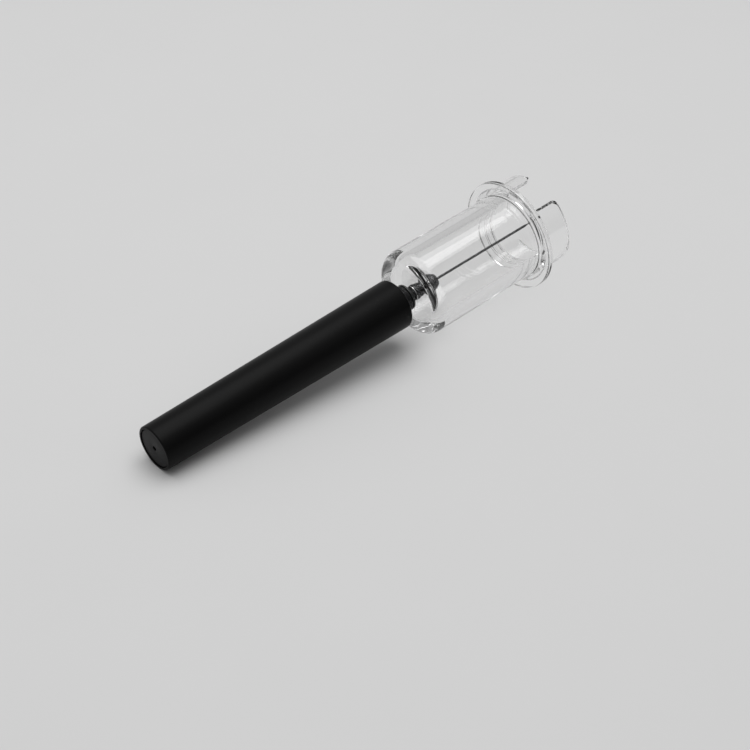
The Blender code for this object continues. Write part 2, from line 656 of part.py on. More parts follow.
def build_needle(materials, carrier, parts, cutters):
    """Makes the washer, the hub that clamps the guard, and the hollow needle with its side vent."""
    washer_front = HUB_WASHER_BACK + HUB_WASHER_THICKNESS
    washer = tube_outline(SHANK_HOLE_RADIUS, HUB_WASHER_RADIUS, HUB_WASHER_BACK, washer_front)
    turned("hub_washer", washer, SMALL_SIDES, materials["black_nylon"], carrier, parts)
    needle_hole = NEEDLE_RADIUS + CLEARANCE
    socket_floor = NEEDLE_BACK - CLEARANCE
    airway = HUB_AIRWAY_RADIUS
    hub = [
        (HUB_NOSE_RADIUS, HUB_FRONT),
        (HUB_BODY_RADIUS, HUB_CONE_BACK),
        (HUB_BODY_RADIUS, HUB_BODY_BACK),
        (HUB_FLANGE_RADIUS, HUB_BODY_BACK, HUB_EDGE),
        (HUB_FLANGE_RADIUS, HUB_FLANGE_BACK, HUB_EDGE),
        (HUB_SHANK_RADIUS, HUB_FLANGE_BACK),
        (HUB_SHANK_RADIUS, HUB_BACK, HUB_EDGE),
        (airway, HUB_BACK),
        (airway, socket_floor),
        (needle_hole, socket_floor),
        (needle_hole, HUB_FRONT),
    ]
    turned("needle_hub", hub, SMALL_SIDES, materials["steel"], carrier, parts)
    vent_station = NEEDLE_FRONT - NEEDLE_VENT_SETBACK
    bore_end = (vent_station + NEEDLE_FRONT - NEEDLE_POINT_LENGTH) / 2
    needle = [
        (0, NEEDLE_FRONT),
        (NEEDLE_RADIUS, NEEDLE_FRONT - NEEDLE_POINT_LENGTH),
        (NEEDLE_RADIUS, NEEDLE_BACK),
        (NEEDLE_BORE_RADIUS, NEEDLE_BACK),
        (NEEDLE_BORE_RADIUS, bore_end),
        (0, bore_end),
    ]
    steel = materials["steel"]
    piece = turned("needle", needle, FINE_SIDES, steel, carrier, parts, closed=False)
    place = (0, 0, vent_station - carrier.location.z)
    across = (0, math.pi / 2, 0)
    length = 2 * (NEEDLE_RADIUS + OVERRUN)
    cut(piece, round_cutter("vent_cutter", NEEDLE_VENT_RADIUS, length, place, across, carrier, cutters))


def build_guard(materials, carrier, parts, cutters):
    """Makes the clear guard: base with a spot face for the hub, tube, flange and three ears."""
    outline = [
        (EAR_RADIUS, EAR_FRONT, EAR_EDGE),
        (EAR_RADIUS, FLANGE_FRONT),
        (FLANGE_RADIUS, FLANGE_FRONT, FLANGE_EDGE),
        (FLANGE_RADIUS, FLANGE_BACK, FLANGE_EDGE),
        (GUARD_RADIUS, FLANGE_BACK, FLANGE_EDGE),
        (GUARD_RADIUS, GUARD_BACK, GUARD_BACK_EDGE),
        (SHANK_HOLE_RADIUS, GUARD_BACK),
        (SHANK_HOLE_RADIUS, SPOT_FACE_FLOOR),
        (SPOT_FACE_RADIUS, SPOT_FACE_FLOOR),
        (SPOT_FACE_RADIUS, GUARD_FLOOR),
        (GUARD_BORE_RADIUS, GUARD_FLOOR, GUARD_FLOOR_FILLET),
        (GUARD_BORE_RADIUS, FLANGE_FRONT, GUARD_MOUTH_EDGE),
        (EAR_BORE_RADIUS, FLANGE_FRONT),
        (EAR_BORE_RADIUS, EAR_FRONT, EAR_EDGE),
    ]
    guard = turned("guard", outline, LARGE_SIDES, materials["clear_plastic"], carrier, parts)
    for index, (direction, mouth_radius) in enumerate(SLOTS):
        name = f"slot_cutter_{index + 1}"
        cut(guard, slot_cutter(name, direction, mouth_radius, carrier, cutters))
    cut(guard, floor_cutter(carrier, cutters))


def centre_on_origin(base, parts):
    """Moves the opener along X so that the origin lies under the middle of its length."""
    bpy.context.view_layer.update()
    depsgraph = bpy.context.evaluated_depsgraph_get()
    reach = []
    for piece in parts.objects:
        if piece.type == "EMPTY":
            continue
        shape = piece.evaluated_get(depsgraph)
        reach.extend((shape.matrix_world @ Vector(corner)).x for corner in mesh_points(shape))
    base.location.x -= (min(reach) + max(reach)) / 2
    bpy.context.view_layer.update()


def mesh_points(shape):
    """Gives the evaluated points of a piece in its own space."""
    mesh = shape.to_mesh()
    points = [vertex.co.copy() for vertex in mesh.vertices]
    shape.to_mesh_clear()
    return points


def main():
    """Builds the opener, resting on the floor with its axis in the XZ plane."""
    clear_scene()
    parts = new_collection("air_pump_wine_opener")
    cutters = new_collection("cutters")
    materials = {name: make_material(name) for name in FINISHES}
    base = new_empty("opener_axis", 0, None, parts)
    base.location = (0, 0, AXIS_START_HEIGHT)
    base.rotation_euler.y = math.pi / 2 - AXIS_RISE
    handle = new_empty("handle_slide", 0, base, parts)
    flap = new_empty("flap_lift", FLAP_BACK, handle, parts)
    plunger = new_empty("plunger", PISTON_BACK, base, parts)
    valve = new_empty("valve_lift", BALL_CENTRE, base, parts)
    guard = new_empty("guard_turn", GUARD_BACK, base, parts)
    build_handle(materials, handle, parts)
    build_cap(materials, handle, parts, cutters)
    build_flap(materials, flap, parts)
    build_plunger(materials, plunger, parts)
    build_valve(materials, valve, parts)
    build_neck(materials, plunger, parts)
    build_needle(materials, plunger, parts, cutters)
    build_guard(materials, guard, parts, cutters)
    centre_on_origin(base, parts)


main()
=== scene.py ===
"""Dresses the air pump wine opener: fine turned surfaces, finishes, floor, studio light and camera.

Every turned piece is drawn as an outline of corners, each a radius and a station, where a station is a
distance along the opener's own axis from the back end of its handle. The axis comes from the frame.
"""

import json
import logging
import math
from abc import ABC, abstractmethod
from dataclasses import dataclass, replace
from enum import Enum

import bmesh
import bpy
from mathutils import Matrix, Vector


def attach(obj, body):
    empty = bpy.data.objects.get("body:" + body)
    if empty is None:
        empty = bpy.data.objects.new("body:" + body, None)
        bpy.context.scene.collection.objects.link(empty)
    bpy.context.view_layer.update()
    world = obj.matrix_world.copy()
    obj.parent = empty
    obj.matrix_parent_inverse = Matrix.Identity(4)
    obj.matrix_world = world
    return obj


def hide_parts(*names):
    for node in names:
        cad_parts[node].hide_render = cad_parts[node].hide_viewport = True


MM = 0.001
FULL_TURN = 2 * math.pi
SMALL_ARC = 4  # the steps of a rounding of a quarter turn on a small piece
FRAME_SIDES = 48  # the sides of the frame's own turned solids
FLAT_SHARE = math.cos(math.pi / FRAME_SIDES)  # keeps a finer circle within their flats

COLOUR_A, COLOUR_B, COLOUR_RESULT = 6, 7, 2  # the places of a Mix node's colour sockets

Tone = tuple[float, float, float]
Place = tuple[float, float, float]
Span = tuple[float, float]
Piece = bpy.types.Object
Shape = bmesh.types.BMesh
Ring = list[bmesh.types.BMVert]
Socket = bpy.types.NodeSocket
Relief = list[tuple[Socket, float]]

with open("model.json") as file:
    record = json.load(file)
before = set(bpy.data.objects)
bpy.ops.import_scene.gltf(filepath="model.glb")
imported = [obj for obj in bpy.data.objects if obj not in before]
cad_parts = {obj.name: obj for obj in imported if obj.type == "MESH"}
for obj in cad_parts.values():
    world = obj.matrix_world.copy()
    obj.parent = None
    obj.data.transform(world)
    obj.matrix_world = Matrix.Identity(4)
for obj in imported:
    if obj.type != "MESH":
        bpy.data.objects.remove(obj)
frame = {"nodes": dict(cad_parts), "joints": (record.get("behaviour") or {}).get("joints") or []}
log = logging.getLogger("opener")


class Body(Enum):
    """The bodies of the opener that pieces ride on."""

    NEEDLE_UNIT = "needle_unit"
    HANDLE = "handle"
    GUARD = "bottle_guard"


class Slot(Enum):
    """The record's material slots."""

    SATIN_BLACK = "satin_black"
    MOULDED_BLACK = "moulded_black"
    DISC_GREY = "disc_grey"
    CLEAR = "clear_plastic"
    ALUMINIUM = "aluminium"
    STEEL = "steel"
    NYLON = "nylon"


class Fineness(Enum):
    """How many sides a turned piece has."""

    GRIP = 192
    SMALL = 96
    WIRE = 48


def stand(name: str, data: bpy.types.ID) -> Piece:
    """Stands an object in the scene.

    Args:
        name: The object's name.
        data: Its mesh, light or camera.

    Returns:
        The object.
    """
    made = bpy.data.objects.new(name, data)
    bpy.context.scene.collection.objects.link(made)
    return made


def mesh_of(name: str, shape: Shape) -> bpy.types.Mesh:
    """Makes a mesh of a shape.

    Args:
        name: The mesh's name.
        shape: The shape, which is freed.

    Returns:
        The mesh.
    """
    mesh = bpy.data.meshes.new(name)
    shape.to_mesh(mesh)
    shape.free()
    return mesh


@dataclass(frozen=True)
class OpenerAxis:
    """The line that the opener is turned about, with its start at station zero.

    Args:
        start: The world point of station zero.
        direction: The unit vector from the handle's end to the guard's open end.
    """

    start: Vector
    direction: Vector

    @classmethod
    def from_joints(cls, joints: list[dict], guard_back: float) -> "OpenerAxis":
        """Reads the axis from the guard's joint, whose point is the back of the guard.

        Args:
            joints: The frame's joints.
            guard_back: The station of the guard's back face.

        Returns:
            The opener's axis.
        """
        joint = next(item for item in joints if item["name"] == "guard_turn")
        direction = Vector(joint["axis"]).normalized()
        return cls(Vector(joint["pos_m"]) - direction * guard_back, direction)

    def matrix(self) -> Matrix:
        """Gives the place of a piece whose Z is the axis and whose X points down.

        Returns:
            The piece's matrix.
        """
        across = Vector((0, 1, 0))
        down = across.cross(self.direction)
        turn = Matrix((down, across, self.direction)).transposed().to_4x4()
        return Matrix.Translation(self.start) @ turn


@dataclass(frozen=True)
class Corner:
    """A corner of a turned outline.

    Args:
        radius: Distance from the axis.
        station: Distance along the axis.
        fillet: Radius of the corner's rounding, or zero for a sharp corner.
    """

    radius: float
    station: float
    fillet: float = 0.0

    def point(self) -> Vector:
        """Gives the corner as a flat vector of radius and station."""
        return Vector((self.radius, self.station))


@dataclass(frozen=True)
class Outline:
    """The outline of a turned piece, which runs down its outer side.

    Args:
        corners: The corners in order.
        closed: Whether the outline closes on itself, as that of a ring does. An open one has sharp ends.
        arc_steps: How many steps a rounding of a quarter turn has.
    """

    corners: tuple[Corner, ...]
    closed: bool = True
    arc_steps: int = 8

    def points(self) -> list[Vector]:
        """Rounds the corners.

        Returns:
            The outline's points as flat vectors of radius and station.
        """
        points: list[Vector] = []
        for index, corner in enumerate(self.corners):
            if corner.fillet <= 0:
                points.append(corner.point())
                continue
            before = self.corners[index - 1].point()
            after = self.corners[(index + 1) % len(self.corners)].point()
            points.extend(self._arc(before, corner, after))
        return points

    def _arc(self, before: Vector, corner: Corner, after: Vector) -> list[Vector]:
        """Rounds one corner.

        Args:
            before: The corner before it.
            corner: The corner to round.
            after: The corner after it.

        Returns:
            The points of the arc.
        """
        here = corner.point()
        back = (before - here).normalized()
        ahead = (after - here).normalized()
        half = back.angle(ahead) / 2
        setback = corner.fillet / math.tan(half)
        middle = here + (back + ahead).normalized() * corner.fillet / math.sin(half)
        first = here + back * setback - middle
        turn = (here + ahead * setback - middle).angle_signed(first)
        steps = max(2, round(self.arc_steps * abs(turn) / (FULL_TURN / 4)))
        return [middle + self._swing(first, turn * step / steps) for step in range(steps + 1)]

    @staticmethod
    def _swing(arm: Vector, angle: float) -> Vector:
        """Turns a flat vector by an angle."""
        cosine, sine = math.cos(angle), math.sin(angle)
        return Vector((arm.x * cosine - arm.y * sine, arm.x * sine + arm.y * cosine))


@dataclass(frozen=True)
class Lathe:
    """Turns outlines into smooth closed meshes on the opener's axis.

    Args:
        axis: The line to turn about.
        crease: The edge angle above which shading breaks.
    """

    axis: OpenerAxis
    crease: float = math.radians(28)

    def turn(self, name: str, outline: Outline, fineness: Fineness) -> Piece:
        """Turns one outline.

        Args:
            name: The piece's name.
            outline: The outline to turn.
            fineness: How many sides the piece has.

        Returns:
            The piece, placed on the axis.
        """
        shape = bmesh.new()
        sides = fineness.value
        rings = [self._ring(shape, point, sides) for point in outline.points()]
        pairs = list(zip(rings, rings[1:]))
        if outline.closed:
            pairs.append((rings[-1], rings[0]))
        for upper, lower in pairs:
            for side in range(sides):
                self._face(shape, upper, lower, side)
        return self.piece(name, shape)

    def piece(self, name: str, shape: Shape) -> Piece:
        """Places a shape on the axis and makes an object of it.

        Args:
            name: The piece's name.
            shape: The shape, drawn about its own Z axis.

        Returns:
            The piece.
        """
        shape.transform(self.axis.matrix())
        return self.solid(name, shape)

    def solid(self, name: str, shape: Shape) -> Piece:
        """Makes a smooth shaded object of a shape that is drawn where it stands.

        Args:
            name: The object's name.
            shape: The shape, which is freed.

        Returns:
            The object.
        """
        mesh = mesh_of(name, shape)
        self.shade(mesh)
        return stand(name, mesh)

    def shade(self, mesh: bpy.types.Mesh) -> None:
        """Shades a mesh smooth up to the crease angle."""
        mesh.shade_smooth()
        mesh.set_sharp_from_angle(angle=self.crease)

    @staticmethod
    def _ring(shape: Shape, point: Vector, sides: int) -> Ring:
        """Adds the vertices of one ring, or a single one where it lies on the axis.

        Args:
            shape: The shape to add to.
            point: The outline's point.
            sides: How many sides the piece has.

        Returns:
            The ring's vertices.
        """
        if point.x <= 0:
            return [shape.verts.new((0, 0, point.y))]
        radius = point.x * FLAT_SHARE
        angles = [FULL_TURN * side / sides for side in range(sides)]
        return [
            shape.verts.new((radius * math.cos(angle), radius * math.sin(angle), point.y))
            for angle in angles
        ]

    @staticmethod
    def _face(shape: Shape, upper: Ring, lower: Ring, side: int) -> None:
        """Adds the face between two rings at one side, unless it would be a mere line.

        Args:
            shape: The shape to add to.
            upper: The ring that comes first on the outline.
            lower: The ring that comes next.
            side: Which side of the piece the face is on.
        """
        places = ((upper, side), (lower, side), (lower, side + 1), (upper, side + 1))
        corners = dict.fromkeys(ring[place % len(ring)] for ring, place in places)
        if len(corners) > 2:
            shape.faces.new(list(corners))


@dataclass(frozen=True)
class Grain:
    """The grain of a noise.

    Args:
        size: The size of one grain.
        detail: How many finer octaves the noise has.
        rough: How strong the finer octaves are.
        length: How many times longer a grain is along the opener's axis than across it.
    """

    size: float
    detail: float = 3.0
    rough: float = 0.55
    length: float = 1.0


def fill(node: bpy.types.Node, **values: object) -> None:
    """Sets sockets of a node, with underscores for spaces in their names."""
    for key, value in values.items():
        node.inputs[key.replace("_", " ")].default_value = value


class NodeBench:
    """Places and wires the shader nodes of one material."""

    def __init__(self, name: str, axis: OpenerAxis) -> None:
        """Makes the material with its Principled shader.

        Args:
            name: The material's name.
            axis: The opener's axis, which turned ridges and drawn lines follow.
        """
        self.axis = axis
        self.material = bpy.data.materials.new(name)
        self.material.use_nodes = True
        self.tree = self.material.node_tree
        self.shader = self.tree.nodes["Principled BSDF"]
        self.normal: Socket | None = None

    def add(self, kind: str, **settings: object) -> bpy.types.Node:
        """Adds a node.

        Args:
            kind: The node's type name.
            **settings: Its own settings, by attribute name.

        Returns:
            The node.
        """
        node = self.tree.nodes.new(kind)
        for key, value in settings.items():
            setattr(node, key, value)
        return node

    def link(self, source: Socket, target: Socket) -> None:
        """Wires one socket to another."""
        self.tree.links.new(source, target)

    def place(self) -> Socket:
        """Gives each point's place in metres from the axis' start, with Z along the axis.

        Returns:
            The place.
        """
        own = self.axis.matrix()
        mapping = self.add("ShaderNodeMapping", vector_type="TEXTURE")
        fill(mapping, Location=own.to_translation(), Rotation=own.to_euler())
        self.link(self.add("ShaderNodeTexCoord").outputs["Object"], mapping.inputs["Vector"])
        return mapping.outputs["Vector"]

    def radius(self, place: Socket) -> Socket:
        """Gives the distance from the opener's axis.

        Args:
            place: The place on the piece, from place().

        Returns:
            The distance in metres.
        """
        flat = self.add("ShaderNodeVectorMath", operation="MULTIPLY")
        flat.inputs[1].default_value = (1, 1, 0)
        length = self.add("ShaderNodeVectorMath", operation="LENGTH")
        self.link(place, flat.inputs[0])
        self.link(flat.outputs["Vector"], length.inputs[0])
        return length.outputs["Value"]

    def station(self, place: Socket) -> Socket:
        """Gives the station on the opener's axis.

        Args:
            place: The place on the piece, from place().

        Returns:
            The station in metres.
        """
        split = self.add("ShaderNodeSeparateXYZ")
        self.link(place, split.inputs[0])
        return split.outputs["Z"]

    def noise(self, place: Socket, grain: Grain) -> Socket:
        """Adds noise.

        Args:
            place: The place on the piece, from place().
            grain: The noise's grain.

        Returns:
            The noise, from 0 to 1.
        """
        noise = self.add("ShaderNodeTexNoise")
        fill(noise, Scale=1 / grain.size, Detail=grain.detail, Roughness=grain.rough)
        if grain.length != 1:
            drawn = self.add("ShaderNodeMapping")
            fill(drawn, Scale=(1, 1, 1 / grain.length))
            self.link(place, drawn.inputs["Vector"])
            place = drawn.outputs["Vector"]
        self.link(place, noise.inputs["Vector"])
        return noise.outputs["Fac"]

    def ripple(self, distance: Socket, pitch: float) -> Socket:
        """Adds the even ridges that a turning tool leaves.

        Args:
            distance: The distance that the ridges follow, such as a radius or a station.
            pitch: The distance from one ridge to the next.

        Returns:
            The ridges' height, from -1 to 1.
        """
        scaled = self.add("ShaderNodeMath", operation="MULTIPLY")
        scaled.inputs[1].default_value = FULL_TURN / pitch
        wave = self.add("ShaderNodeMath", operation="SINE")
        self.link(distance, scaled.inputs[0])
        self.link(scaled.outputs[0], wave.inputs[0])
        return wave.outputs[0]

    def tint(self, factor: Socket, dark: Tone, light: Tone) -> None:
        """Varies the base colour between two tones.

        Args:
            factor: Where the colour lies between them, from 0 to 1.
            dark: The first tone.
            light: The second tone.
        """
        mix = self.add("ShaderNodeMix", data_type="RGBA")
        mix.inputs[COLOUR_A].default_value = (*dark, 1)
        mix.inputs[COLOUR_B].default_value = (*light, 1)
        self.link(factor, mix.inputs["Factor"])
        self.link(mix.outputs[COLOUR_RESULT], self.shader.inputs["Base Color"])

    def vary_roughness(
        self, factor: Socket, smooth: float, matt: float, start: float = 0.0, end: float = 1.0
    ) -> None:
        """Varies the roughness between two values.

        Args:
            factor: What the roughness follows.
            smooth: The lower roughness.
            matt: The higher roughness.
            start: The factor up to which the surface is smooth.
            end: The factor from which it is matt.
        """
        mapped = self.add("ShaderNodeMapRange", clamp=True)
        fill(mapped, From_Min=start, From_Max=end, To_Min=smooth, To_Max=matt)
        self.link(factor, mapped.inputs["Value"])
        self.link(mapped.outputs["Result"], self.shader.inputs["Roughness"])

    def relief(self, height: Socket, depth: float) -> None:
        """Adds relief to the surface, on top of the relief that it already has.

        Args:
            height: The relief's height.
            depth: How deep a height of one is, in metres.
        """
        bump = self.add("ShaderNodeBump")
        fill(bump, Strength=1.0, Distance=depth)
        self.link(height, bump.inputs["Height"])
        if self.normal is not None:
            self.link(self.normal, bump.inputs["Normal"])
        self.normal = bump.outputs["Normal"]
        self.link(self.normal, self.shader.inputs["Normal"])


@dataclass(frozen=True)
class Finish(ABC):
    """What every opaque finish starts from: two tones in soft clouds, and a roughness that varies.

    Args:
        name: The material's name.
        dark: The darker tone of the colour.
        light: The lighter tone of the colour.
        smooth: The lower roughness.
        matt: The higher roughness.
        clouds: The grain of the two tones.
        rubs: The grain of the roughness.
        depth: The depth of the surface's relief.
        sheen: How strongly the surface reflects, as the shader's specular level.
        metallic: One for a metal, otherwise zero.
    """

    name: str
    dark: Tone
    light: Tone
    smooth: float
    matt: float
    clouds: Grain
    rubs: Grain
    depth: float
    sheen: float = 0.5
    metallic: float = 0.0

    def material(self, axis: OpenerAxis) -> bpy.types.Material:
        """Makes the material.

        Args:
            axis: The opener's axis, which the grain is laid along.

        Returns:
            The material.
        """
        bench = NodeBench(self.name, axis)
        place = bench.place()
        fill(bench.shader, Metallic=self.metallic, Specular_IOR_Level=self.sheen)
        bench.tint(bench.noise(place, self.clouds), self.dark, self.light)
        bench.vary_roughness(bench.noise(place, self.rubs), self.smooth, self.matt)
        for height, depth in self.marks(bench, place):
            bench.relief(height, depth)
        return bench.material

    @abstractmethod
    def marks(self, bench: NodeBench, place: Socket) -> Relief:
        """Gives the height and depth of each relief of the surface, the lowest relief first."""


@dataclass(frozen=True)
class Moulding(Finish):
    """A moulded or coated surface with a fine skin.

    Args:
        skin: The grain of the skin.
    """

    depth: float = 0.003 * MM
    skin: Grain = Grain(0.5 * MM)

    def marks(self, bench: NodeBench, place: Socket) -> Relief:
        """Gives the skin's relief."""
        return [(bench.noise(place, self.skin), self.depth)]


@dataclass(frozen=True)
class SatinGrip(Moulding):
    """The handle's satin black, with a fine even grain and soft marks of handling."""

    name: str = "satin_grip"
    dark: Tone = (0.0028, 0.0028, 0.0029)
    light: Tone = (0.004, 0.004, 0.0041)
    smooth: float = 0.36
    matt: float = 0.44
    clouds: Grain = Grain(14 * MM)
    rubs: Grain = Grain(22 * MM, detail=5)
    depth: float = 0.004 * MM
    sheen: float = 0.075
    skin: Grain = Grain(0.35 * MM, detail=2)


@dataclass(frozen=True)
class MouldedBlack(Moulding):
    """Plain black moulding, as on the neck, with faint ridges from its turned mould.

    Args:
        ridge_pitch: The distance between the ridges.
        ridge_depth: The depth of the ridges.
    """

    name: str = "neck_black"
    dark: Tone = (0.006, 0.006, 0.0065)
    light: Tone = (0.011, 0.011, 0.0115)
    smooth: float = 0.26
    matt: float = 0.36
    clouds: Grain = Grain(6 * MM)
    rubs: Grain = Grain(3 * MM, detail=4)
    sheen: float = 0.2
    ridge_pitch: float = 0.4 * MM
    ridge_depth: float = 0.0008 * MM

    def marks(self, bench: NodeBench, place: Socket) -> Relief:
        """Gives the relief of the skin, and that of the ridges over it."""
        ridges = bench.ripple(bench.radius(place), self.ridge_pitch)
        return [*super().marks(bench, place), (ridges, self.ridge_depth)]


@dataclass(frozen=True)
class BlackNylon(Moulding):
    """Black nylon of the washers, with a soft shine."""

    name: str = "black_nylon"
    dark: Tone = (0.008, 0.008, 0.0085)
    light: Tone = (0.014, 0.014, 0.0145)
    smooth: float = 0.35
    matt: float = 0.5
    clouds: Grain = Grain(2 * MM)
    rubs: Grain = Grain(MM)
    skin: Grain = Grain(0.3 * MM)


@dataclass(frozen=True)
class SealRubber(Moulding):
    """Dull black rubber of the seals."""

    name: str = "seal_rubber"
    dark: Tone = (0.008, 0.008, 0.008)
    light: Tone = (0.016, 0.016, 0.016)
    smooth: float = 0.55
    matt: float = 0.75
    clouds: Grain = Grain(1.2 * MM, detail=4)
    rubs: Grain = Grain(0.8 * MM)
    depth: float = 0.006 * MM
    skin: Grain = Grain(0.25 * MM)


@dataclass(frozen=True)
class TurnedMetal(Finish):
    """Metal from a lathe, with the tool's fine ridges on its sides and end faces.

    Args:
        pitch: The distance between the tool's ridges.
    """

    smooth: float = 0.2
    matt: float = 0.34
    clouds: Grain = Grain(1.5 * MM, detail=5)
    rubs: Grain = Grain(0.6 * MM, detail=4)
    depth: float = 0.0012 * MM
    metallic: float = 1.0
    pitch: float = 0.16 * MM

    def marks(self, bench: NodeBench, place: Socket) -> Relief:
        """Gives the ridges on the sides, and those on the end faces."""
        distances = (bench.station(place), bench.radius(place))
        return [(bench.ripple(distance, self.pitch), self.depth) for distance in distances]


@dataclass(frozen=True)
class DrawnMetal(Finish):
    """Drawn tube, whose roughness and relief follow long fine lines along its axis."""

    smooth: float = 0.18
    matt: float = 0.32
    clouds: Grain = Grain(4 * MM, detail=4)
    rubs: Grain = Grain(0.25 * MM, detail=2, length=50)
    depth: float = 0.0015 * MM
    metallic: float = 1.0

    def marks(self, bench: NodeBench, place: Socket) -> Relief:
        """Gives the lines that the roughness follows too."""
        return [(bench.noise(place, self.rubs), self.depth)]


@dataclass(frozen=True)
class ClearMoulding:
    """Clear hard plastic with the slight waviness of a thick moulding.

    Args:
        surface: The tint that its surface gives to light passing through.
        depth_tone: What is left of white light that goes far through the plastic.
        depth_density: How soon light takes that tone on its way, per metre.
        index: Its index of refraction.
        smooth: The lower roughness.
        matt: The higher roughness, in the few rubbed places.
        rubs: The grain of the rubbed places.
        rub_range: Where in that noise the rubbed places start and are fully matt.
        waves: The grain of the slow waves in the surface.
        wave_depth: The depth of those waves.
    """

    surface: Tone = (1.0, 1.0, 1.0)
    depth_tone: Tone = (0.5, 0.5, 0.5)
    depth_density: float = 8.0
    index: float = 1.49
    smooth: float = 0.0
    matt: float = 0.03
    rubs: Grain = Grain(8 * MM, detail=6, rough=0.7)
    rub_range: Span = (0.55, 0.8)
    waves: Grain = Grain(9 * MM, detail=1)
    wave_depth: float = 0.012 * MM

    def material(self, axis: OpenerAxis) -> bpy.types.Material:
        """Makes the material.

        Args:
            axis: The opener's axis, which the grain is laid along.

        Returns:
            The material.
        """
        bench = NodeBench("clear_moulding", axis)
        place = bench.place()
        fill(bench.shader, Base_Color=(*self.surface, 1), Transmission_Weight=1.0, IOR=self.index)
        rubs = bench.noise(place, self.rubs)
        bench.vary_roughness(rubs, self.smooth, self.matt, *self.rub_range)
        bench.relief(bench.noise(place, self.waves), self.wave_depth)
        depth = bench.add("ShaderNodeVolumeAbsorption")
        fill(depth, Color=(*self.depth_tone, 1), Density=self.depth_density)
        bench.link(depth.outputs["Volume"], bench.tree.nodes["Material Output"].inputs["Volume"])
        return bench.material


class Finishes:
    """Every material of the opener, made once."""

    def __init__(self, axis: OpenerAxis) -> None:
        """Makes the materials.

        Args:
            axis: The opener's axis.
        """
        self.grip = SatinGrip().material(axis)
        self.black = MouldedBlack().material(axis)
        self.disc = MouldedBlack(
            name="turned_disc",
            dark=(0.0045, 0.0045, 0.0048),
            light=(0.0065, 0.0065, 0.0068),
            smooth=0.36,
            matt=0.46,
            sheen=0.09,
            ridge_pitch=0.55 * MM,
            ridge_depth=0.0018 * MM,
        ).material(axis)
        self.clear = ClearMoulding().material(axis)
        self.nylon = BlackNylon().material(axis)
        self.rubber = SealRubber().material(axis)
        self.aluminium = DrawnMetal("drawn_aluminium", (0.6, 0.61, 0.63), (0.74, 0.75, 0.77)).material(axis)
        steel_dark, steel_light = (0.05, 0.05, 0.052), (0.08, 0.08, 0.082)
        self.needle = DrawnMetal(
            "ground_steel", steel_dark, steel_light, smooth=0.2, matt=0.3, depth=0.0008 * MM
        ).material(axis)
        self.steel = TurnedMetal("turned_steel", steel_dark, steel_light).material(axis)
        self.valve_steel = TurnedMetal("valve_steel", (0.42, 0.42, 0.43), (0.54, 0.54, 0.55)).material(axis)
        self.brass = TurnedMetal("turned_brass", (0.62, 0.45, 0.2), (0.76, 0.57, 0.28)).material(axis)


def dress(piece: Piece, material: bpy.types.Material) -> None:
    """Gives every face of a piece one material.

    Args:
        piece: The piece.
        material: Its material.
    """
    piece.data.materials.clear()
    piece.data.materials.append(material)


def fit(piece: Piece, material: bpy.types.Material, body: Body, node: str) -> None:
    """Dresses a piece, makes it ride on its body, and hides the node that it stands for.

    Args:
        piece: The piece.
        material: Its material.
        body: The body that it rides on.
        node: The node that it stands for.
    """
    dress(piece, material)
    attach(piece, body.value)
    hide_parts(node)
    log.info("%s stands for %s on %s", piece.name, node, body.value)


def cut(piece: Piece, cutter: Piece) -> None:
    """Cuts a piece and removes the cutter.

    Args:
        piece: The piece to cut.
        cutter: The cutter.
    """
    boolean = piece.modifiers.new("cut", "BOOLEAN")
    boolean.operation = "DIFFERENCE"
    boolean.solver = "EXACT"
    boolean.object = cutter
    bpy.context.view_layer.update()
    shown = piece.evaluated_get(bpy.context.evaluated_depsgraph_get())
    mesh = bpy.data.meshes.new_from_object(shown)
    piece.modifiers.clear()
    piece.data = mesh
    bpy.data.objects.remove(cutter)


def plain_ring(bore: float, radius: float, back: float, front: float, edge: float) -> Outline:
    """Gives the outline of a ring or tube with rounded edges.

    Args:
        bore: The radius of its hole.
        radius: Its outer radius.
        back: The station of its back face.
        front: The station of its front face.
        edge: The rounding of its edges.

    Returns:
        The outline.
    """
    corners = (
        Corner(radius, front, edge),
        Corner(radius, back, edge),
        Corner(bore, back, edge),
        Corner(bore, front, edge),
    )
    return Outline(corners, arc_steps=SMALL_ARC)


